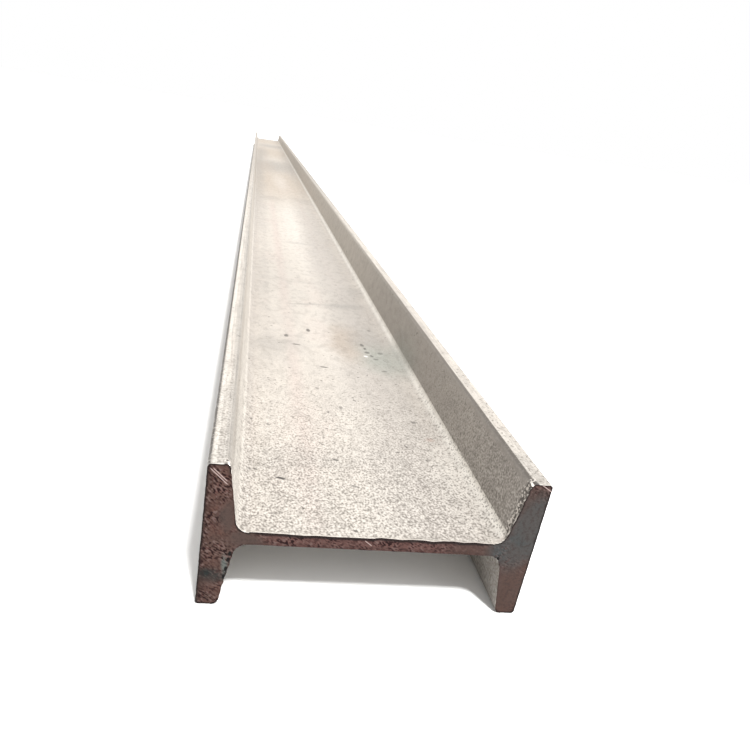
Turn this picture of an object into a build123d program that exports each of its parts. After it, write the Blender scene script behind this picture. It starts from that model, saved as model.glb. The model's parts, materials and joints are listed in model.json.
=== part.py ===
"""A hot-rolled steel I-beam with tapered flanges, sawn square at both ends.

The beam lies as it does on the floor of a yard: the web is level and both flanges
stand on their edges. X runs across the section, from flange to flange, Y runs along
the beam and Z is up. The origin is on the floor, under the middle of the beam.
"""

from build123d import *
import os

# Driving dimensions, in millimetres
section_depth = 250.0  # over the outer faces of the two flanges
flange_width = 120.0  # from one edge of a flange to the other
web_thickness = 10.5
flange_thickness = 20.5  # halfway out from the web to the edge of the flange
flange_taper = 1 / 6  # slope of the inner flange faces
root_radius = 10.5  # where the web runs into a flange
toe_radius = 5.0  # inner corner of a flange's edge
corner_radius = 3.0  # outer corner of a flange's edge
beam_length = 6000.0

# Sizes that follow from them
half_depth = section_depth / 2
half_width = flange_width / 2
half_web = web_thickness / 2
overhang = half_width - half_web
edge_thickness = flange_thickness - flange_taper * overhang / 2
root_thickness = flange_thickness + flange_taper * overhang / 2

# The two roundings of an edge share its thickness, with a flat strip left between them
rounded_share = 0.8
edge_rounding = min(1.0, rounded_share * edge_thickness / (toe_radius + corner_radius))
toe_rounding = toe_radius * edge_rounding
corner_rounding = corner_radius * edge_rounding

# Corners of one quarter of the section, from the middle of the web
web_middle = (0, half_web)
root = (half_depth - root_thickness, half_web)
toe = (half_depth - edge_thickness, half_width)
corner = (half_depth, half_width)
flange_middle = (half_depth, 0)


def at_corners(vertices, point):
    """The vertices at a quarter's point and at its three mirror images."""
    return [v for v in vertices if (Vector(abs(v.X), abs(v.Y)) - Vector(*point)).length < 1e-6]


# The beam is one rolled piece: its section, rounded, drawn out to the full length
far_end = Plane(origin=(0, beam_length / 2, half_width), x_dir=(1, 0, 0), z_dir=(0, -1, 0))

with BuildPart() as i_beam:
    with BuildSketch(far_end) as section:
        with BuildLine() as quarter:
            Polyline((0, 0), web_middle, root, toe, corner, flange_middle, close=True)
        make_face()
        mirror(about=Plane.YZ)
        mirror(about=Plane.XZ)
        fillet(at_corners(section.vertices(), root), root_radius)
        fillet(at_corners(section.vertices(), toe), toe_rounding)
        fillet(at_corners(section.vertices(), corner), corner_rounding)
    extrude(amount=beam_length)

i_beam.part.label = "i_beam"

os.makedirs("parts", exist_ok=True)
export_step(i_beam.part, "parts/i_beam.step")

print("section area, mm2:", round(section.sketch.area, 1))
print("edge and root thickness, mm:", round(edge_thickness, 2), round(root_thickness, 2))
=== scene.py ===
"""A hot-rolled steel I-beam on a pale floor, seen from above one sawn end.

X runs across the section, Y along the beam and Z up, in metres. The beam is one closed mesh: its
rolled skin, fine towards the ends and coarse between them, and a sawn face at each end.
"""

import json
import math

import bpy
import numpy as np
from mathutils import Matrix, Vector, noise
from mathutils.geometry import delaunay_2d_cdt


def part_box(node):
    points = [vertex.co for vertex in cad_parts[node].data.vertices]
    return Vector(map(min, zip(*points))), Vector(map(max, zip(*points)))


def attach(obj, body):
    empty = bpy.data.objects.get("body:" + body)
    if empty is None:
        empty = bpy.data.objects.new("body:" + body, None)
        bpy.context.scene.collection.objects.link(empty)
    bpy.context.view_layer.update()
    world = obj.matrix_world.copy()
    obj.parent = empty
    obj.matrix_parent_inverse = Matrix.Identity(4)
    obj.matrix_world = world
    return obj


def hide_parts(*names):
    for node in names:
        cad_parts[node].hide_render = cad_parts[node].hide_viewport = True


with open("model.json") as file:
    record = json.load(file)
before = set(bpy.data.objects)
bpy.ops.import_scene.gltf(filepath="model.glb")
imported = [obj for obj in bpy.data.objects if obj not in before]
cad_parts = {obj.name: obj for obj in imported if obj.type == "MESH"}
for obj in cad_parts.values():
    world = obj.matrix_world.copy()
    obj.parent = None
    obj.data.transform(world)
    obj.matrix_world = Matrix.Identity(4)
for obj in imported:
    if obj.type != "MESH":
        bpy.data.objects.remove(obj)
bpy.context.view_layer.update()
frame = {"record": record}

MM = 0.001
rng = np.random.default_rng(25)

# The section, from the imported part
mounts = {m["name"]: m["pos_m"] for m in frame["record"]["mounts"]}
beam_low, beam_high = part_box("i_beam")
near_end, far_end = beam_low.y, beam_high.y
half_depth = beam_high.x
half_width = (beam_high.z - beam_low.z) / 2
half_web = (mounts["web_upper"][2] - mounts["web_lower"][2]) / 2
web_top = mounts["web_upper"][2]

# What the frame doesn't say of it
flange_thickness = 20.5 * MM
flange_taper = 1 / 6
root_radius = 10.5 * MM
toe_radius = 5 * MM
corner_radius = 3 * MM

overhang = half_width - half_web
edge_thickness = flange_thickness - flange_taper * overhang / 2
root_thickness = flange_thickness + flange_taper * overhang / 2

# Parts of the outline, in order from the middle of an outer face to the middle of the web, with the
# number of steps along each at the coarsest
OUTER, CORNER, EDGE, TOE, INNER, ROOT, WEB = range(7)
steps_along = {OUTER: 12, CORNER: 6, EDGE: 3, TOE: 6, INNER: 9, ROOT: 8, WEB: 20}

# The beam's materials, by their numbers on the mesh
SKIN, SAWN = range(2)

# The saw blade's middle, seen from the near end, across and up, and how close its fine and broad arcs lie
saw_middle = (0.50, 0.75)
fine_arcs, broad_arcs = 620, 150

# How high the burr stands at most, above and below the web, on the left and on the right
burr_parts = {
    TOE: ((1.2, 1.4), (0.4, 0.3)),
    INNER: ((0.4, 1.6), (1.0, 0.3)),
    ROOT: ((0.3, 1.5), (0.6, 1.0)),
    WEB: ((0.9, 1.5), (0.2, 0.2)),
}
tallest_burr = 1.6 * MM

# How far back from the cut the burr's torn look reaches
torn_on_web, torn_on_root, torn_elsewhere = 2.5 * MM, 7.0 * MM, 13.0 * MM

# Depth of the mill's slow waves, height of the fine relief near an end, and depth of the nibbled cut
wave_depth = 0.22 * MM
relief_height = 0.10 * MM
nibble_depth = 0.35 * MM

# Distances from an end between which the fine relief and the burr fade out
relief_fades = (0.05, 0.12)
burr_fades = (0.3 * MM, 3.6 * MM)

# Distances from an end of the rings at the cut. Close rings follow as far as close_reach, then wide ones
# to the middle: the first step of each kind, and how much every step grows
cut_rings = np.array((0, 0.5, 1.1, 1.9, 3.0, 4.4)) * MM
close_reach = 55 * MM
close_step, close_growth = 2.0 * MM, 1.03
wide_step, wide_growth = 5 * MM, 1.032

# Gap between the points of an end face, the part of it by which they are shaken, and their gap to the rim
end_pitch = 1.7 * MM
end_shake = 0.3
rim_gap = 0.9 * MM

# The texture map, from 0 to 1 each way: the skin's size and margin, and the ends' places above it
skin_on_map, map_margin = (0.99, 0.735), 0.005
near_on_map, far_on_map = (0.0075, 0.755), (0.5075, 0.755)
end_on_map = (0.485, 0.233)


def straight(start, end, steps):
    """Points of a straight run with their outward normals, without the last."""
    start, end = np.array(start), np.array(end)
    along = (end - start) / np.linalg.norm(end - start)
    points = start + np.linspace(0, 1, steps, endpoint=False)[:, None] * (end - start)
    return np.hstack([points, np.tile((along[1], -along[0]), (steps, 1))])


def rounded(middle, radius, first, last, steps):
    """Points of an arc with their outward normals, without the last. A hollow arc has a negative radius."""
    turn = np.linspace(first, last, steps, endpoint=False)
    normals = np.stack([np.cos(turn), np.sin(turn)], 1)
    return np.hstack([np.array(middle) + radius * normals, normals])


def outline(fineness):
    """The whole outline, anticlockwise seen from the near end: rows of a point, its outward normal and
    its part."""
    toe = np.array((half_depth - edge_thickness, half_width))
    root = np.array((half_depth - root_thickness, half_web))
    down = (root - toe) / np.linalg.norm(root - toe)
    bend = math.atan2(-down[1], -down[0])
    toe_cut = toe_radius * math.tan(bend / 2)
    root_cut = root_radius * math.tan(bend / 2)
    quarter_turn = math.pi / 2
    steps = {part: count * fineness for part, count in steps_along.items()}
    corner_middle = (half_depth - corner_radius, half_width - corner_radius)
    toe_middle = (toe[0] + toe_cut, half_width - toe_radius)
    root_middle = (root[0] - root_cut, half_web + root_radius)
    runs = {
        OUTER: straight((half_depth, 0), (half_depth, corner_middle[1]), steps[OUTER]),
        CORNER: rounded(corner_middle, corner_radius, 0, quarter_turn, steps[CORNER]),
        EDGE: straight((corner_middle[0], half_width), (toe_middle[0], half_width), steps[EDGE]),
        TOE: rounded(toe_middle, toe_radius, quarter_turn, quarter_turn + bend, steps[TOE]),
        INNER: straight(toe + down * toe_cut, root - down * root_cut, steps[INNER]),
        ROOT: rounded(root_middle, -root_radius, quarter_turn + bend, quarter_turn, steps[ROOT]),
        WEB: straight((root_middle[0], half_web), (0, half_web), steps[WEB]),
    }
    last = np.array([[0, half_web, 0, 1, WEB]])
    named = [np.hstack([run, np.full((len(run), 1), part)]) for part, run in runs.items()]
    quarter = np.vstack(named + [last])
    across = quarter[::-1] * (-1, 1, -1, 1, 1)
    upper = np.vstack([quarter[:-1], across[:-1]])
    lower = upper * (-1, -1, -1, -1, 1)
    whole = np.vstack([upper, lower])
    whole[:, 1] += half_width
    return whole


def stations():
    """Distances of the rings from an end, up to the middle, each with its fineness."""
    middle = (far_end - near_end) / 2
    rows = [(distance, 4) for distance in cut_rings]
    step = close_step
    while rows[-1][0] < close_reach:
        rows.append((rows[-1][0] + step, 2))
        step *= close_growth
    step = wide_step
    while rows[-1][0] + 1.5 * step < middle:
        rows.append((rows[-1][0] + step, 1))
        step *= wide_growth
    return rows + [(middle, 1)]


def smooth(value, low, high):
    """0 below low, 1 above high, with a soft step between."""
    t = np.clip((value - low) / (high - low), 0, 1)
    return t * t * (3 - 2 * t)


def noise_at(places, scale, seed=0.0):
    """Noise from -1 to 1 at each place."""
    shift = Vector((seed, 1.7 * seed, -0.6 * seed))
    return np.array([noise.noise(Vector(p) * scale + shift) for p in places])


def jagged(ring):
    """A ragged line round a ring, from 0 to 1: small teeth on the flanges, longer waves on the web."""
    count = len(ring)
    lines = []
    for width, power in ((2, 2.0), (7, 1.0)):
        teeth = rng.random(count // width + 2) ** power
        lines.append(np.interp(np.arange(count) / width, np.arange(len(teeth)), teeth))
    return np.where(ring[:, 4] == WEB, lines[1], 0.6 * lines[0] + 0.4 * lines[1])


def burr_height(ring):
    """How far the saw's burr stands off the cut edge at most, round a ring."""
    height = np.zeros(len(ring))
    lower, right = ring[:, 1] < half_width, ring[:, 0] > 0
    for part, heights in burr_parts.items():
        here = ring[:, 4] == part
        height[here] = np.array(heights)[lower[here].astype(int), right[here].astype(int)]
    return height * MM


class BeamMesh:
    """The vertices and faces of the beam, built ring by ring. Each vertex also has its burr, its distance
    from the rim of an end face and its place round and along the skin."""

    def __init__(self):
        self.places, self.burr, self.rim, self.map = [], [], [], []
        self.faces, self.slots = [], []

    def add(self, places, burr, rim, spots):
        """Adds vertices and returns their numbers."""
        first = sum(len(p) for p in self.places)
        self.places.append(places)
        self.burr.append(burr)
        self.rim.append(rim)
        self.map.append(spots)
        return np.arange(first, first + len(places))

    def add_faces(self, faces, slot):
        self.faces += faces
        self.slots += [slot] * len(faces)


def ring_places(ring, y, from_end, ragged):
    """A ring's points and how torn each looks. The points are off the true section by the mill's slight
    waves, the fine relief near an end and the burr at the cut. None goes outside the section's box."""
    places = np.stack([ring[:, 0], np.full(len(ring), y), ring[:, 1]], 1)
    slow = np.array((3.0, 1.3, 3.0))
    wave = -wave_depth * (1 + noise_at(places * slow, 1, 3.0))
    grain = relief_height * noise_at(places, 140, 8.0) * (1 - smooth(from_end, *relief_fades))
    fade = 1 - smooth(from_end, *burr_fades)
    burr = burr_height(ring) * ragged * fade
    outside = np.isin(ring[:, 4], (OUTER, CORNER, EDGE))
    nibble = np.where(outside, -nibble_depth * ragged, 0) * fade
    off = wave + grain + burr + nibble
    places[:, 0] += ring[:, 2] * off
    places[:, 2] += ring[:, 3] * off
    web_or_root = [ring[:, 4] == WEB, ring[:, 4] == ROOT]
    reach = np.select(web_or_root, [torn_on_web, torn_on_root], torn_elsewhere)
    weight = burr_height(ring) / tallest_burr * (1 - smooth(from_end, 0.25 * reach, reach))
    return places.clip(tuple(beam_low), tuple(beam_high)), weight


def along_map(y):
    """How far up the map of the skin a place along the beam lies: the ends get more of it."""
    marks = np.array((0, 0.4, 1.3, 4.7, 5.6, 6.0)) / 6 * (far_end - near_end) + near_end
    return np.interp(y, marks, (0, 0.36, 0.59, 0.77, 0.85, 1))


def round_map(ring):
    """How far round the section each point of a ring lies, from 0 to 1."""
    gaps = np.hypot(*(np.roll(ring[:, :2], -1, axis=0) - ring[:, :2]).T)
    return (np.cumsum(gaps) - gaps) / gaps.sum()


def join_rings(a, b):
    """Faces between two rings, the first nearer the near end. One may be twice as fine as the other."""
    if len(a) == len(b):
        return np.stack([a, b, np.roll(b, -1), np.roll(a, -1)], 1).tolist()
    fine, coarse = (a, b) if len(a) > len(b) else (b, a)
    first, between, second = fine[::2], fine[1::2], np.roll(fine[::2], -1)
    after = np.roll(coarse, -1)
    fans = [(first, coarse, between), (between, coarse, after), (between, after, second)]
    if fine is b:
        fans = [fan[::-1] for fan in fans]
    return np.vstack([np.stack(fan, 1) for fan in fans]).tolist()


def saw_relief(x, z):
    """How deep the saw's arcs lie in an end face, fine ones on broad ones."""
    radius = np.hypot(x - saw_middle[0], z - saw_middle[1])
    fine = np.array([noise.noise(Vector((r * fine_arcs, 0.3, 0.1))) for r in radius])
    broad = np.array([noise.noise(Vector((r * broad_arcs, 5.3, 2.1))) for r in radius])
    return MM * (0.12 + 0.09 * fine + 0.10 * broad).clip(0)


def inside_of(loop, points):
    """Which points lie inside a closed loop."""
    after = np.roll(loop, -1, axis=0)
    height = points[:, 1, None]
    crossing = (loop[:, 1] > height) != (after[:, 1] > height)
    rise = np.where(after[:, 1] == loop[:, 1], 1e-12, after[:, 1] - loop[:, 1])
    meet = loop[:, 0] + (height - loop[:, 1]) * (after[:, 0] - loop[:, 0]) / rise
    return (crossing & (points[:, 0, None] < meet)).sum(1) % 2 == 1


def end_face(mesh, rim, facing):
    """A sawn end inside a rim of vertices. facing is -1 at the near end and 1 at the far one."""
    around = np.vstack(mesh.places)[rim][:, [0, 2]]
    columns = np.arange(-half_depth, half_depth, end_pitch)
    rows = np.arange(0, 2 * half_width, end_pitch)
    grid = np.stack(np.meshgrid(columns, rows), -1).reshape(-1, 2)
    grid += rng.uniform(-end_shake, end_shake, grid.shape) * end_pitch
    grid = grid[inside_of(around, grid)]
    gap = np.hypot(*(grid[:, None] - around).transpose(2, 0, 1)).min(1)
    grid, gap = grid[gap > rim_gap], gap[gap > rim_gap]
    end = near_end if facing < 0 else far_end
    places = np.stack([grid[:, 0], end - facing * saw_relief(*grid.T), grid[:, 1]], 1)
    inner = mesh.add(places, np.zeros(len(grid)), gap, np.zeros((len(grid), 2)))
    flat = [Vector(p) for p in np.vstack([around, grid])]
    border = [(i, (i + 1) % len(around)) for i in range(len(around))]
    found = delaunay_2d_cdt(flat, border, [], 1, 1e-9)
    triangles, origins = found[2], found[3]
    number = np.concatenate([rim, inner])
    source = [int(number[came[0]]) for came in origins]
    faces = [[source[i] for i in face][::-facing] for face in triangles]
    mesh.add_faces(faces, SAWN)


def beam_mesh():
    """The whole beam, closed: the skin from ring to ring, and a sawn face at each end."""
    mesh = BeamMesh()
    outlines = {fineness: outline(fineness) for fineness in (1, 2, 4)}
    round_at = {fineness: round_map(ring) for fineness, ring in outlines.items()}
    near = stations()
    rows = [(near_end + d, d, f) for d, f in near] + [(far_end - d, d, f) for d, f in near[-2::-1]]
    ragged = {-1: jagged(outlines[4]), 1: jagged(outlines[4])}
    rings = []
    for y, from_end, fineness in rows:
        side = -1 if y < 0 else 1
        places, burr = ring_places(outlines[fineness], y, from_end, ragged[side][:: 4 // fineness])
        spots = np.stack([round_at[fineness], np.full(len(places), along_map(y))], 1)
        rings.append(mesh.add(places, burr, np.zeros(len(places)), spots))
    for a, b in zip(rings, rings[1:]):
        mesh.add_faces(join_rings(a, b), SKIN)
    end_face(mesh, rings[0], -1)
    end_face(mesh, rings[-1], 1)
    return mesh, rings


def mark_rims(data, rings):
    """Makes the cut edges sharp."""
    ends = np.empty(2 * len(data.edges), np.int32)
    data.edges.foreach_get("vertices", ends)
    ends = ends.reshape(-1, 2)
    apart = np.abs(ends[:, 0] - ends[:, 1])
    sharp = np.zeros(len(ends), bool)
    for rim in (rings[0], rings[-1]):
        sharp |= np.isin(ends, rim).all(1) & ((apart == 1) | (apart == len(rim) - 1))
    data.attributes.new("sharp_edge", "BOOLEAN", "EDGE").data.foreach_set("value", sharp)


def lay_out_map(data, built):
    """The beam's texture map: the skin unrolled below, the two end faces side by side above it."""
    corners = np.empty(len(data.loops), np.int32)
    data.loops.foreach_get("vertex_index", corners)
    sizes = np.empty(len(data.polygons), np.int32)
    data.polygons.foreach_get("loop_total", sizes)
    starts = np.cumsum(sizes) - sizes
    spots = np.vstack(built.map)[corners]
    # A face across the seam ends at the right edge, not back at the left one
    widest = np.repeat(np.maximum.reduceat(spots[:, 0], starts), sizes)
    spots[(spots[:, 0] < 0.25) & (widest > 0.75), 0] = 1
    spots = spots * skin_on_map + map_margin
    sawn = np.repeat(np.array(built.slots) == SAWN, sizes)
    x, y, z = np.vstack(built.places)[corners[sawn]].T
    corner = np.where((y < 0)[:, None], near_on_map, far_on_map)
    across = corner[:, 0] + end_on_map[0] * (x + half_depth) / (2 * half_depth)
    spots[sawn] = np.stack([across, corner[:, 1] + end_on_map[1] * z / (2 * half_width)], 1)
    data.uv_layers.new(name="OFBake").data.foreach_set("uv", spots.astype(np.float32).ravel())


def add_beam(skin, sawn):
    """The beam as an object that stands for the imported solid."""
    built, rings = beam_mesh()
    data = bpy.data.meshes.new("rolled_beam")
    data.from_pydata(np.vstack(built.places).tolist(), [], built.faces)
    data.materials.append(skin)
    data.materials.append(sawn)
    data.polygons.foreach_set("material_index", built.slots)
    data.polygons.foreach_set("use_smooth", [True] * len(data.polygons))
    for name, values in (("burr", built.burr), ("rim", built.rim)):
        attribute = data.attributes.new(name, "FLOAT", "POINT")
        attribute.data.foreach_set("value", np.concatenate(values).astype(np.float32))
    mark_rims(data, rings)
    lay_out_map(data, built)
    data.update()
    beam = bpy.data.objects.new("rolled_beam", data)
    bpy.context.scene.collection.objects.link(beam)
    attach(beam, "root")
    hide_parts("i_beam")


class Shades:
    """One material's nodes. Each call adds a node and returns its output."""

    def __init__(self, name):
        self.material = bpy.data.materials.new(name)
        self.material.use_nodes = True
        self.tree = self.material.node_tree
        self.surface = self.tree.nodes["Principled BSDF"]
        self.place = self.add("TexCoord", out="Object")
        self.x, self.y, self.z = self.add("SeparateXYZ", self.place, whole=True).outputs

    def feed(self, socket, value):
        if isinstance(value, bpy.types.NodeSocket):
            self.tree.links.new(value, socket)
        elif value is not None:
            socket.default_value = value

    def add(self, kind, *inputs, out=0, whole=False, **settings):
        node = self.tree.nodes.new("ShaderNode" + kind)
        for name, value in settings.items():
            setattr(node, name, value)
        for socket, value in zip(node.inputs, inputs):
            self.feed(socket, value)
        return node if whole else node.outputs[out]

    def math(self, operation, *values):
        return self.add("Math", *values, operation=operation)

    def times(self, product, *others):
        for other in others:
            product = self.math("MULTIPLY", product, other)
        return product

    def plus(self, a, b):
        return self.math("ADD", a, b)

    def step(self, value, low, high, start=0.0, end=1.0):
        """A soft step from start to end as value goes from low to high."""
        return self.add("MapRange", value, low, high, start, end, interpolation_type="SMOOTHSTEP")

    def noise(self, place, scale, detail=2.0, roughness=0.5, distortion=0.0):
        node = self.add("TexNoise", place, whole=True)
        values = dict(Scale=scale, Detail=detail, Roughness=roughness, Distortion=distortion)
        for name, value in values.items():
            node.inputs[name].default_value = value
        return node.outputs[0]

    def noise_line(self, value, scale, detail=2.0, roughness=0.5):
        """Noise along one number."""
        node = self.add("TexNoise", whole=True, noise_dimensions="1D")
        self.feed(node.inputs["W"], value)
        for name, number in dict(Scale=scale, Detail=detail, Roughness=roughness).items():
            node.inputs[name].default_value = number
        return node.outputs[0]

    def stretched(self, x, y, z):
        """The place, scaled by a factor along each axis."""
        return self.add("VectorMath", self.place, (x, y, z), operation="MULTIPLY")

    def shaken(self, scale, amount):
        """The place, moved about by noise, for ragged borders."""
        node = self.add("TexNoise", self.place, whole=True)
        node.inputs["Scale"].default_value = scale
        middled = self.add("VectorMath", node.outputs["Color"], (0.5, 0.5, 0.5), operation="SUBTRACT")
        moved = self.add("VectorMath", middled, (amount, amount, amount), operation="MULTIPLY")
        return self.add("VectorMath", self.place, moved, operation="ADD")

    def blob(self, place, middle, half, turn=0.0, inner=0.3, share=1.0):
        """A round or oval spot: share inside, 0 outside, softer the smaller inner is."""
        own = self.add("Mapping", place, middle, (0, 0, math.radians(turn)), half, vector_type="TEXTURE")
        far = self.add("VectorMath", own, operation="LENGTH", out="Value")
        return self.step(far, 1.0, inner, 0.0, share)

    def most(self, masks):
        """The largest of several masks."""
        total = masks[0]
        for mask in masks[1:]:
            total = self.math("MAXIMUM", total, mask)
        return total

    def mix(self, share, a, b):
        node = self.add("Mix", whole=True, data_type="RGBA")
        self.feed(node.inputs[0], share)
        self.feed(node.inputs[6], a)
        self.feed(node.inputs[7], b)
        return node.outputs[2]

    def bump(self, height, distance, strength=1.0):
        node = self.add("Bump", whole=True)
        self.feed(node.inputs["Height"], height)
        self.feed(node.inputs["Strength"], strength)
        self.feed(node.inputs["Distance"], distance)
        return node.outputs["Normal"]

    def own(self, name):
        """A number that the mesh holds at each vertex."""
        return self.add("Attribute", attribute_name=name, out="Fac")


class SkinShades(Shades):
    """The rolled skin's nodes, with the measures that tell its parts apart."""

    def __init__(self, name):
        super().__init__(name)
        self.across = self.math("ABSOLUTE", self.x)
        self.level = self.math("ABSOLUTE", self.math("SUBTRACT", self.z, half_width))
        self.along = self.math("SUBTRACT", self.y, near_end)
        self.from_end = self.math("SUBTRACT", far_end, self.math("ABSOLUTE", self.y))
        self.to_right = self.step(self.x, -0.02, 0.02)
        self.to_left = self.step(self.x, 0.02, -0.02)
        self.inside_edge = self.step(self.across, 112.0 * MM, 111.6 * MM)
        self.inner = self.times(self.step(self.level, 13.8 * MM, 14.6 * MM), self.inside_edge)


def rgb(red, green, blue):
    return (red, green, blue, 1.0)


# Colours of the rolled skin
CREAM = rgb(0.440, 0.402, 0.356)
WHITE = rgb(0.560, 0.525, 0.475)
PALE = rgb(0.660, 0.625, 0.570)
PINK = rgb(0.425, 0.366, 0.326)
BEIGE = rgb(0.375, 0.318, 0.258)
TAN = rgb(0.325, 0.272, 0.224)
COOL = rgb(0.348, 0.318, 0.287)
GREEN_GREY = rgb(0.285, 0.283, 0.250)
GREY = rgb(0.265, 0.245, 0.222)
TAUPE = rgb(0.288, 0.262, 0.234)
SPECK = rgb(0.105, 0.092, 0.078)
DARK = rgb(0.060, 0.054, 0.048)
RUST = rgb(0.260, 0.170, 0.135)
CHIP = rgb(0.62, 0.60, 0.57)
HAZE = rgb(0.250, 0.212, 0.172)

# Painted shade on the right flange's inner face and toe, from the near cut to far off, and the colour of
# the left toe
INNER_SHADING_AT_CUT = rgb(0.230, 0.208, 0.187)
INNER_SHADING_MIDWAY = rgb(0.425, 0.390, 0.342)
INNER_SHADING_FAR = rgb(0.570, 0.524, 0.462)
TOE_SHADING_AT_CUT = rgb(0.104, 0.091, 0.078)
TOE_SHADING_NEAR = rgb(0.178, 0.157, 0.135)
TOE_SHADING_MIDWAY = rgb(0.370, 0.336, 0.292)
TOE_SHADING_FAR = rgb(0.440, 0.405, 0.360)
LEFT_TOE = rgb(0.258, 0.238, 0.214)

# Colours of the burr on the cut edge
TORN = rgb(0.50, 0.46, 0.415)
GAP_ON_WEB = rgb(0.40, 0.36, 0.32)
GAP_ON_FLANGE = rgb(0.070, 0.061, 0.053)
LOWER_BURR = rgb(0.03, 0.027, 0.024)
CRUMB = rgb(0.85, 0.80, 0.74)

# Colours of a sawn end
BROWN = rgb(0.074, 0.037, 0.029)
DULL_BROWN = rgb(0.061, 0.036, 0.029)
RED_BROWN = rgb(0.084, 0.041, 0.036)
CALM_LEFT = rgb(0.055, 0.0355, 0.030)
CALM_RIGHT = rgb(0.056, 0.0335, 0.0275)
WARM_SLATE = rgb(0.048, 0.044, 0.042)
COLD_SLATE = rgb(0.044, 0.048, 0.048)
MOTTLE = rgb(0.028, 0.020, 0.018)
TEAL_BLACK = rgb(0.012, 0.017, 0.0165)
TEAL_GREY = rgb(0.080, 0.090, 0.083)
RUST_RED = rgb(0.100, 0.034, 0.030)
LEFT_SIDE_SHADE = rgb(0.018, 0.009, 0.007)
FLECK = rgb(0.010, 0.002, 0.002)
GLINT = rgb(0.115, 0.078, 0.070)
RIM = rgb(0.006, 0.004, 0.004)
PIT = rgb(0.004, 0.003, 0.003)
SCRATCH = rgb(0.34, 0.26, 0.24)

# Bands along the web, in millimetres: across, half their width, colour and strength
web_bands = [
    (-92, 11, PINK, 0.5),
    (-43, 15, PINK, 0.9),
    (-72, 10, COOL, 0.25),
    (10, 20, WHITE, 0.2),
    (52, 13, PINK, 0.7),
    (76, 14, COOL, 0.4),
]

# Stains and rubbed places on the web, first a painted shadow of the right flange over the web's right side
# and a long
# # darker band beside the left flange, in millimetres: across, along from the near end, half their size
# each way, degrees turned, colour and strength
web_stains = [
    # painted shadow of the right flange over the right side of the web
    (56, 600, 70, 1900, 0, COOL, 0.85),
    # a long darker band beside the left flange
    (-104, 2100, 70, 2300, 0, COOL, 0.9),
    (36, 402, 40, 105, 0, TAN, 0.9),
    (72, 405, 58, 105, 0, GREY, 0.6),
    (75, 350, 46, 72, 0, GREEN_GREY, 1.0),
    (-70, 370, 44, 50, 0, GREY, 0.45),
    (-8, 557, 48, 9, 4, GREY, 0.6),
    (50, 566, 42, 19, 8, GREY, 0.9),
    (84, 655, 26, 55, 0, GREY, 0.4),
    (10, 1030, 48, 20, 0, GREY, 0.5),
    (2, 1250, 46, 560, 0, WHITE, 0.3),
    (-45, 1740, 60, 75, 0, GREY, 0.55),
    (62, 1770, 50, 90, 0, GREY, 0.45),
    (0, 2250, 220, 800, 0, BEIGE, 0.85),
    (-10, 3020, 220, 520, 0, GREY, 0.8),
    (10, 4100, 220, 800, 0, BEIGE, 0.8),
    (20, 4850, 220, 350, 0, GREY, 0.7),
    (0, 5500, 220, 500, 0, BEIGE, 0.7),
    (-88, 3000, 46, 2000, 0, GREY, 0.72),
    (80, 3300, 44, 1700, 0, GREY, 0.3),
    (14, 2200, 46, 420, 0, PINK, 0.5),
    (-50, 690, 70, 300, 0, GREY, 0.25),
    (62, 560, 54, 170, 0, GREY, 0.3),
    (88, 80, 34, 100, 0, WHITE, 0.65),
    (-86, 620, 24, 480, 0, GREY, 0.3),
    (0, 2300, 46, 400, 0, WHITE, 0.3),
    (-50, 2950, 70, 500, 0, TAN, 0.45),
    (-62, 4000, 62, 800, 0, GREY, 0.65),
]

# Nicks and scratches on the web, in millimetres: across, along from the near end, half their size
# each way, degrees turned, and how dark from 0 to 1
web_nicks = [
    (-67, 70, 5.5, 2.0, -15, 1.0),
    (-17, 103, 4.0, 2.0, -25, 0.8),
    (-76, 158, 2.5, 2.5, 0, 0.6),
    (-5, 65, 5, 1.5, -20, 0.6),
    (-93, 81, 3, 2.5, 0, 0.5),
    (-48, 406, 4, 7, 0, 0.75),
    (-16, 435, 4, 8, 0, 0.8),
    (-36, 376, 8, 2.5, -10, 0.6),
    (-6, 309, 7, 2.5, -10, 0.7),
    (55, 397, 3.5, 7, 10, 0.7),
    (57, 384, 2.5, 5, 0, 0.7),
    (58, 371, 5, 5, 30, 0.65),
    (62, 360, 3, 4, 20, 0.7),
    (66, 350, 5, 4, 20, 0.5),
    (-20, 248, 3, 4, 0, 0.45),
    (75, 185, 4, 3, 0, 0.6),
    (1, 205, 2.5, 6, 0, 0.45),
    (76, 372, 5, 5, 0, 0.5),
    (70, 313, 5, 3, 20, 0.45),
    (76, 459, 3, 6, 0, 0.4),
    (-52, 178, 3, 2, 0, 0.4),
]

# Single spots on the web, in millimetres: across, along from the near end, half their size each way and
# degrees turned
grimy_patch = (98, 350, 18, 85, 0)
rust_spot = (84, 151, 8, 6, 0)
white_chip = (54, 357, 3.5, 4, 0)


def on_web(s, place, across, along, half_across, half_along, turn, inner, share):
    """A spot on the upper side of the web."""
    middle = (across * MM, near_end + along * MM, web_top)
    spot = s.blob(place, middle, (half_across * MM, half_along * MM, 60 * MM), turn, inner, share)
    return s.times(spot, s.step(s.z, half_width - 2 * MM, half_width + 2 * MM))


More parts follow.
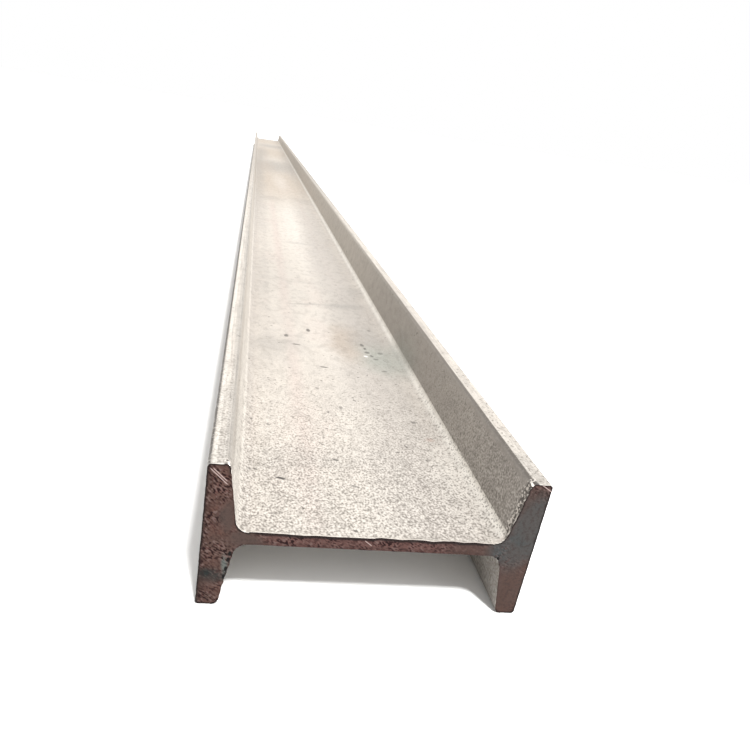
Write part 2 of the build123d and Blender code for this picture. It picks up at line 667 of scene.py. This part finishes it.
def rolled_colour(s, colour):
    """Bands along the rolling, clouds, rubbed places across it and stains."""
    wander = s.noise(s.stretched(1, 0.25, 1), 7, 2)
    broken = s.step(wander, 0.32, 0.62, 0.35, 1.0)
    for across, half, tint, share in web_bands:
        band = s.blob(s.place, (across * MM, 0, web_top), (half * MM, 60, 40 * MM), 0, 0.0, share)
        colour = s.mix(s.times(band, broken), colour, tint)
    clouds = s.noise(s.stretched(1, 0.45, 1), 12, 4, 0.62)
    colour = s.mix(s.step(clouds, 0.48, 0.74, 0.0, 0.45), colour, COOL)
    warm = s.noise(s.stretched(1, 0.3, 1.4), 19, 3, 0.6)
    colour = s.mix(s.step(warm, 0.50, 0.72, 0.0, 0.5), colour, PINK)
    rubs = s.noise(s.stretched(0.2, 1, 0.2), 15, 3, 0.6)
    colour = s.mix(s.step(rubs, 0.58, 0.74, 0.0, 0.30), colour, GREY)
    loose = s.shaken(24, 36 * MM)
    for across, along, half_across, half_along, turn, tint, share in web_stains:
        stain = on_web(s, loose, across, along, half_across, half_along, turn, 0.15, share)
        colour = s.mix(stain, colour, tint)
    return colour


def inner_faces(s, colour):
    """The flanges' inner faces: painted shade on the right, lighter far off, and painted light on the left,
    pale down into the root."""
    # Painted shade on the right flange's inner face, darkest at the cut and lighter further off
    inner_shading = s.mix(s.step(s.along, 0.0, 0.14), INNER_SHADING_AT_CUT, TAUPE)
    inner_shading = s.mix(s.step(s.along, 0.26, 1.0), inner_shading, INNER_SHADING_MIDWAY)
    inner_shading = s.mix(s.step(s.along, 1.0, 2.4), inner_shading, INNER_SHADING_FAR)
    colour = s.mix(s.times(s.inner, s.to_right, 0.85), colour, inner_shading)
    low = s.step(s.level, 50 * MM, 34 * MM)
    upper_share = s.step(s.along, 0.4, 1.8, 0.15, 0.58)
    lower_share = s.step(s.along, 0.9, 1.4, s.step(s.along, 0.15, 0.4, 0.80, 0.58), 0.44)
    share = s.step(low, 0.0, 1.0, upper_share, lower_share)
    # Painted light on the left flange's inner face, strongest low down towards the root
    painted_light_or_rimless = s.times(s.step(s.level, 6.5 * MM, 8.5 * MM), s.inside_edge)
    painted_light_or_rimless = s.times(painted_light_or_rimless, s.step(s.level, 10 * MM, 17 * MM, 0.6, 1.0))
    return s.mix(s.times(painted_light_or_rimless, s.to_left, share), colour, PALE)


def toes(s, colour, streaks):
    """The rounded toes: painted shade on the right, darkest near the cut and deeper where the arc turns up,
    streaked grey on the left.
    """
    toe = s.times(s.step(s.across, 107.9 * MM, 110.5 * MM), s.step(s.level, 50 * MM, 53 * MM), s.inner)
    # Painted shade on the right toe, deeper where the arc turns up and would catch more light
    shade = s.mix(s.step(s.along, 0.0, 0.35), TOE_SHADING_AT_CUT, TOE_SHADING_NEAR)
    shade = s.mix(s.step(s.along, 0.30, 1.2), shade, TOE_SHADING_MIDWAY)
    shade = s.mix(s.step(s.along, 1.2, 2.4), shade, TOE_SHADING_FAR)
    colour = s.mix(s.times(toe, s.to_right), colour, shade)
    lined = s.step(streaks, 0.40, 0.60, 0.75, 1.0)
    return s.mix(s.times(toe, s.to_left, lined), colour, LEFT_TOE)


def roots(s, colour):
    """The root fillets: painted light on the right, pale up to a crisp line at the fillet's top, with a
    grey foot on the left.
    """
    root = s.times(s.step(s.level, 5.6 * MM, 10 * MM), s.step(s.level, 14.6 * MM, 13.8 * MM))
    # Painted light: the right fillet is painted pale so that it looks fully lit up to its top
    colour = s.mix(s.times(root, s.to_right), colour, PALE)
    foot = s.times(s.step(s.level, 7.6 * MM, 6.4 * MM), s.step(s.across, 88 * MM, 92 * MM))
    return s.mix(s.times(foot, s.to_left, 0.28), colour, GREY)


def flange_edges(s, colour, streaks):
    """The flanges' edges: streaked, duller at the cut and far off, with a grey and a rubbed strip on the
    left, and painted shade on the outer corners, strongest on the left where the corner turns from the
    light."""
    edge = s.times(s.step(s.level, 57.5 * MM, 59 * MM), s.step(s.across, 111.8 * MM, 112.2 * MM))
    colour = s.mix(s.times(edge, s.step(s.along, 0.07, 0.0, 0.10, 0.55)), colour, GREY)
    colour = s.mix(s.times(edge, s.step(streaks, 0.50, 0.64, 0.0, 0.45)), colour, GREY)
    colour = s.mix(s.times(edge, s.step(streaks, 0.48, 0.36, 0.0, 0.4)), colour, WHITE)
    colour = s.mix(s.times(edge, s.step(s.along, 0.9, 2.6, 0.0, 0.42)), colour, GREY)
    colour = s.mix(s.times(edge, s.to_right, s.step(s.along, 0.8, 2.0, 0.0, 0.45)), colour, GREY)
    near = s.times(s.to_left, s.step(s.along, 2.0, 0.5))
    grey_strip = s.step(s.across, 115.2 * MM, 113.9 * MM)
    colour = s.mix(s.times(edge, grey_strip, near, 0.5), colour, GREY)
    rubbed = s.times(s.step(s.across, 118.2 * MM, 119.8 * MM), s.step(s.across, 122.2 * MM, 121.4 * MM))
    colour = s.mix(s.times(edge, rubbed, near, 0.5), colour, WHITE)
    # Painted shade along the rounded outer corners, strongest on the left
    corner = s.times(s.step(s.level, 56.5 * MM, 58.5 * MM), s.step(s.across, 122.0 * MM, 123.3 * MM))
    return s.mix(s.times(corner, s.step(s.x, 0.02, -0.02, 0.4, 0.95)), colour, DARK)


def flange_colour(s, colour):
    """What differs on the flanges from the web."""
    streaks = s.noise(s.stretched(1, 0.03, 1), 620, 3, 0.6)
    colour = toes(s, inner_faces(s, colour), streaks)
    return flange_edges(s, roots(s, colour), streaks)


# Crumbs of burr on the near cut edge, in millimetres: across, up and half their size across and up
light_crumbs = [
    (-110.2, 118.9, 1.8, 1.8),
    (-107.9, 112.6, 1.6, 3.4),
    (-106.9, 106.8, 1.6, 2.4),
    (-106.1, 101.6, 1.6, 1.6),
    (109.4, 118.2, 1.5, 1.2),
]
dark_crumbs = [
    (-108.5, 116.2, 1.5, 1.7),
    (-106.5, 104.1, 1.5, 1.3),
    (-103.5, 86.9, 1.5, 1.8),
    (-102.9, 82.8, 1.5, 1.5),
]


def crumbs(s, places):
    """Crumbs that lie on the skin just behind the near cut edge."""
    return s.most([s.blob(s.place, (across * MM, near_end, up * MM), (half * MM, 7 * MM, tall * MM), 0, 0.5)
                   for across, up, half, tall in places])


def cut_edge(s, colour):
    """The skin's cut edge: a thin bright line, and where there is burr, torn bright bits with gaps between
    them, light on the web and on the flanges dark with painted shadow. Below the web the burr is near
    black."""
    burr = s.own("burr")
    worn = s.times(s.step(s.from_end, 1.5 * MM, 0.4 * MM), s.step(s.noise(s.place, 220, 1), 0.35, 0.55))
    worn = s.times(worn, s.step(burr, 0.85, 0.5), s.step(s.z, half_width, web_top, 0.0, 0.6))
    colour = s.mix(worn, colour, PALE)
    chips = s.noise(s.place, 430, 1, 0.6)
    weight = s.step(s.plus(burr, s.times(chips, 0.9)), 0.84, 1.04)
    # Painted shadow in the gaps between the burr's bits on the flanges
    gaps = s.mix(s.step(s.level, 8 * MM, 14 * MM), GAP_ON_WEB, GAP_ON_FLANGE)
    torn = s.mix(s.step(chips, 0.46, 0.62), gaps, TORN)
    torn = s.mix(s.step(s.z, half_width, web_top), LOWER_BURR, torn)
    colour = s.mix(s.times(weight, 0.92), colour, torn)
    colour = s.mix(crumbs(s, light_crumbs), colour, CRUMB)
    return s.mix(crumbs(s, dark_crumbs), colour, SPECK)


def skin_grain(s, colour):
    """Pits, light grains and dots near the ends, and mottle and pores all over. Returns the colour, the
    grain's relief and the pores."""
    calm = s.times(s.step(s.level, 12 * MM, 15 * MM), s.step(s.across, 112 * MM, 110 * MM))
    edges = s.times(s.step(s.level, 57 * MM, 59 * MM), s.step(s.across, 111 * MM, 112 * MM))
    rounds = s.times(s.step(s.level, 51 * MM, 55 * MM), s.step(s.across, 112.5 * MM, 112 * MM))
    on_edges = s.step(s.x, -0.02, 0.02, 0.65, 0.40)
    soft = s.times(s.step(calm, 0.0, 1.0, 1.0, 0.95), s.step(edges, 0.0, 1.0, 1.0, on_edges))
    soft = s.times(soft, s.step(rounds, 0.0, 1.0, 1.0, 0.25))
    near_share = s.times(s.step(s.from_end, 0.33, 0.02, 0.2, 1.0), soft)
    grain = s.noise(s.stretched(1, 0.85, 1), 620, 0.3, 0.5)
    pits = s.times(s.step(grain, 0.50, 0.28), near_share)
    colour = s.mix(s.times(pits, 0.66), colour, SPECK)
    lights = s.times(s.step(grain, 0.52, 0.70), near_share, s.step(calm, 0.0, 1.0, 1.0, 0.55))
    colour = s.mix(s.times(lights, 0.62), colour, WHITE)
    mottle = s.noise(s.stretched(1, 0.6, 1), 120, 1, 0.5)
    colour = s.mix(s.step(mottle, 0.52, 0.32, 0.0, 0.15), colour, SPECK)
    dots = s.times(s.step(s.noise(s.place, 310, 0.5), 0.37, 0.31), s.step(s.from_end, 0.42, 0.18))
    dotted = s.plus(s.times(soft, 0.48), s.times(edges, s.step(s.x, -0.02, 0.02, 0.0, 0.4)))
    colour = s.mix(s.times(dots, dotted), colour, SPECK)
    pores = s.step(s.noise(s.place, 190, 1.0, 0.4), 0.26, 0.22)
    colour = s.mix(s.times(pores, 0.65), colour, DARK)
    return colour, s.times(grain, near_share), pores


def skin_marks(s, colour):
    """Nicks, a spot of rust and a white chip on the web. Returns the colour and the nicks."""
    ragged = s.shaken(260, 2.5 * MM)
    nicks = s.most([on_web(s, ragged, *nick[:5], 0.45, nick[5]) for nick in web_nicks])
    colour = s.mix(nicks, colour, DARK)
    colour = s.mix(on_web(s, ragged, *rust_spot, 0.0, 0.45), colour, RUST)
    colour = s.mix(on_web(s, ragged, *white_chip, 0.4, 0.8), colour, CHIP)
    return colour, nicks


def mill_skin():
    """Pale hot-rolled skin: fine pits, bands along the rolling, rub marks across it, nicks and rust."""
    s = SkinShades("mill_skin")
    dulled = s.mix(s.step(s.from_end, 0.17, 0.0, 0.0, 0.3), rolled_colour(s, CREAM), GREY)
    colour = flange_colour(s, dulled)
    colour = s.mix(s.step(s.along, 1.1, 2.8, 0.0, 0.28), colour, HAZE)
    colour = s.mix(on_web(s, s.place, *grimy_patch, 0.1, 0.7), colour, GREEN_GREY)
    colour, relief, pores = skin_grain(s, colour)
    colour, nicks = skin_marks(s, colour)
    s.feed(s.surface.inputs["Base Color"], cut_edge(s, colour))
    roughness = s.step(s.noise(s.place, 60, 3), 0.3, 0.7, 0.52, 0.70)
    s.feed(s.surface.inputs["Roughness"], roughness)
    s.surface.inputs["Metallic"].default_value = 0.25
    height = s.plus(relief, s.times(s.plus(pores, nicks), -0.7))
    s.feed(s.surface.inputs["Normal"], s.bump(height, 0.25 * MM, 0.5))
    return s.material


# Places on the sawn ends, in millimetres: across, up from the floor, half their size each way, strength
smooth_places = [
    (-107, 76, 9, 21, 1.0),
    (-94, 59, 22, 11, 1.0),
    (78, 59, 34, 12, 0.8),
    (112, 24, 26, 36, 1.0),
    (-116, 24, 16, 13, 0.7),
    (115, 76, 30, 56, 1.0),
]
slate_places = [
    (118, 80, 22, 42, 1.0),
    (108, 60, 26, 24, 1.0),
]
dark_places = [
    (-120, 27.5, 13, 10, 1.0),
    (-111, 24, 12, 7, 0.7),
    (-116, 9, 14, 9, 0.25),
    (-115, 75, 8, 10, 0.35),
    (117, 114, 16, 7, 0.35),
]
tinted_places = [
    (-105.5, 35, 4.5, 17, 1.0),
]

# Pits in the edges of the sawn ends, in millimetres: across, up and half their size each way
edge_pits = [
    (-103.3, 46.3, 1.5, 2.8),
    (-104.0, 41.1, 1.5, 2.6),
    (-105.0, 32.7, 1.5, 3.0),
    (-106.0, 25.8, 1.4, 2.8),
    (98.4, 52.4, 1.6, 2.2),
    (101.2, 38.0, 1.2, 2.0),
]

# Light scratches on the sawn ends: distance from the saw's middle, then across, up and half the length,
# all in millimetres
end_scratches = [
    (888.5, -116, 110, 10),
    (886.9, -115, 111.5, 8),
    (853.9, -4, 61, 4),
    (738.2, 120.5, 117, 6),
]


def on_end(s, place, across, up, half_across, half_up, inner, share):
    """A spot on both sawn ends."""
    half = (half_across * MM, 60, half_up * MM)
    return s.blob(place, (across * MM, 0, up * MM), half, 0, inner, share)


def spots_on_end(s, place, spots, inner):
    """Several spots on both sawn ends."""
    return s.most([on_end(s, place, *spot[:4], inner, spot[4]) for spot in spots])


def end_rim(s, middle):
    """The dark rim of a sawn end: full along its upper and outer edges, wider on the web."""
    uneven = s.times(s.noise(s.place, 160, 1), 1.6 * MM)
    gap = s.math("SUBTRACT", s.plus(s.own("rim"), uneven), s.times(middle, 1.4 * MM))
    upper = s.step(s.z, half_width - 1 * MM, half_width + 1.5 * MM)
    outer = s.step(s.math("ABSOLUTE", s.x), 117 * MM, 120 * MM)
    foot = s.step(s.z, 5 * MM, 2 * MM, 0.25, 0.9)
    painted_light_or_rimless = on_end(s, s.place, -106, 93, 7, 24, 0.8, 0.7)
    shown = s.times(s.most([upper, outer, foot]), s.math("SUBTRACT", 1.0, painted_light_or_rimless))
    return s.times(s.step(gap, 2.8 * MM, 1.2 * MM), shown)


def sawn_ground(s, loose, still, middle):
    """A sawn end before its wear: brown, redder on the web, calm or slate in places, with dark stains."""
    cloudy = s.noise(s.place, 40, 3, 0.6)
    colour = s.mix(s.step(cloudy, 0.35, 0.65), BROWN, DULL_BROWN)
    colour = s.mix(s.times(middle, 0.8), colour, RED_BROWN)
    calm = s.mix(s.step(s.x, -0.02, 0.06), CALM_LEFT, CALM_RIGHT)
    colour = s.mix(still, colour, calm)
    bare = s.mix(s.step(cloudy, 0.40, 0.60), WARM_SLATE, COLD_SLATE)
    colour = s.mix(spots_on_end(s, loose, slate_places, 0.4), colour, bare)
    faint = s.step(s.noise(s.place, 330, 2, 0.7), 0.44, 0.66, 0.0, 0.5)
    colour = s.mix(faint, colour, MOTTLE)
    colour = s.mix(spots_on_end(s, loose, dark_places, 0.1), colour, TEAL_BLACK)
    return s.mix(spots_on_end(s, loose, tinted_places, 0.2), colour, TEAL_GREY)


def sawn_wear(s, colour, rough, worn):
    """Rust, dark flecks and glints where a sawn end is worn, and painted shade down its left side."""
    reds = s.times(s.step(s.noise(s.place, 330, 1), 0.56, 0.66), worn)
    colour = s.mix(s.times(reds, 0.4), colour, RUST_RED)
    # Painted shade down the left side of a sawn end
    colour = s.mix(s.step(s.x, -117 * MM, -123 * MM, 0.0, 0.5), colour, LEFT_SIDE_SHADE)
    colour = s.mix(s.times(s.step(rough, 0.69, 0.62), worn), colour, FLECK)
    return s.mix(s.times(s.step(rough, 0.80, 0.90), worn, 0.7), colour, GLINT)


def end_marks(s, colour, radius):
    """Pits in the edges of a sawn end, and light scratches along the blade's arcs."""
    pitted = s.most([on_end(s, s.place, *pit, 0.5, 1.0) for pit in edge_pits])
    colour = s.mix(pitted, colour, PIT)
    for distance, across, up, half in end_scratches:
        off_line = s.math("ABSOLUTE", s.math("SUBTRACT", radius, distance * MM))
        reach = on_end(s, s.place, across, up, half, half, 0.7, 0.9)
        colour = s.mix(s.times(s.step(off_line, 0.48 * MM, 0.12 * MM), reach), colour, SCRATCH)
    return colour


def sawn_steel():
    """A sawn end: brown with rust, slate where it is bare, scored by the blade's arcs."""
    s = Shades("sawn_steel")
    dx = s.math("SUBTRACT", s.x, saw_middle[0])
    dz = s.math("SUBTRACT", s.z, saw_middle[1])
    radius = s.math("SQRT", s.plus(s.times(dx, dx), s.times(dz, dz)))
    arcs = s.add("CombineXYZ", radius, s.times(s.math("ARCTAN2", dz, dx), 0.4), s.y)
    rough = s.plus(s.noise(arcs, 780, 0.5, 0.5), s.times(s.noise(arcs, 300, 1, 0.5), 0.45))
    patchy = s.noise(s.place, 75, 2, 0.6)
    loose = s.shaken(55, 12 * MM)
    still = spots_on_end(s, loose, smooth_places, 0.3)
    worn = s.times(s.math("SUBTRACT", 1.0, s.times(still, 0.95)), s.step(patchy, 0.62, 0.44, 0.3, 1.0))
    middle = s.step(s.math("ABSOLUTE", s.x), 92 * MM, 78 * MM)
    colour = sawn_wear(s, sawn_ground(s, loose, still, middle), rough, worn)
    colour = s.mix(s.times(end_rim(s, middle), 0.85), colour, RIM)
    s.feed(s.surface.inputs["Base Color"], end_marks(s, colour, radius))
    s.feed(s.surface.inputs["Roughness"], s.step(patchy, 0.3, 0.7, 0.55, 0.75))
    s.surface.inputs["Metallic"].default_value = 0.1
    s.surface.inputs["Specular IOR Level"].default_value = 0.1
    height = s.plus(s.noise_line(radius, 300, 2, 0.6), s.times(rough, worn))
    s.feed(s.surface.inputs["Normal"], s.bump(height, 0.3 * MM, 0.7))
    return s.material


def add_floor():
    """A plain pale floor, wide enough to reach the horizon."""
    reach = 300.0
    data = bpy.data.meshes.new("floor")
    corners = [(-reach, -reach, 0), (reach, -reach, 0), (reach, reach, 0), (-reach, reach, 0)]
    data.from_pydata(corners, [], [(0, 1, 2, 3)])
    s = Shades("pale_floor")
    s.surface.inputs["Base Color"].default_value = rgb(0.78, 0.78, 0.775)
    s.surface.inputs["Roughness"].default_value = 0.9
    s.surface.inputs["Specular IOR Level"].default_value = 0.1
    data.materials.append(s.material)
    floor = bpy.data.objects.new("floor", data)
    bpy.context.scene.collection.objects.link(floor)


def add_lamp(name, towards, strength, spread):
    """A soft lamp far off in the direction given, spread over that many degrees."""
    lamp = bpy.data.lights.new(name, "SUN")
    lamp.energy = strength
    lamp.angle = math.radians(spread)
    holder = bpy.data.objects.new(name, lamp)
    holder.rotation_euler = Vector(towards).to_track_quat("Z", "Y").to_euler()
    bpy.context.scene.collection.objects.link(holder)


def add_light():
    """A white room, a lamp overhead and a wider one to the right."""
    world = bpy.data.worlds.new("studio")
    world.use_nodes = True
    world.node_tree.nodes["Background"].inputs["Color"].default_value = rgb(1, 1, 1)
    world.node_tree.nodes["Background"].inputs["Strength"].default_value = 1.0
    bpy.context.scene.world = world
    add_lamp("overhead", (0.10, -0.41, 0.89), 4.3, 5)
    add_lamp("right_side", (0.60, -0.20, 0.77), 1.6, 50)


def add_camera():
    """The photograph's view: where it stood, where it looked and how wide it saw, in a square picture."""
    picture = 750
    focal = 597.6
    optical_axis = (330, 330)
    place = Vector((-0.1145, near_end - 0.3493, 0.3453))
    ahead = Vector((0.1536, 0.9319, -0.3287)).normalized()
    up = Vector((-0.1011, 0.3457, 0.9329))
    right = ahead.cross(up).normalized()
    up = right.cross(ahead)
    data = bpy.data.cameras.new("camera")
    data.sensor_width = 36
    data.lens = focal / picture * data.sensor_width
    data.shift_x = 0.5 - optical_axis[0] / picture
    data.shift_y = optical_axis[1] / picture - 0.5
    data.clip_start, data.clip_end = 0.01, 1000
    camera = bpy.data.objects.new("camera", data)
    camera.matrix_world = Matrix.Translation(place) @ Matrix((right, up, -ahead)).transposed().to_4x4()
    bpy.context.scene.collection.objects.link(camera)
    bpy.context.scene.camera = camera


add_beam(mill_skin(), sawn_steel())
add_floor()
add_light()
add_camera()
bpy.context.scene.view_settings.view_transform = "Standard"
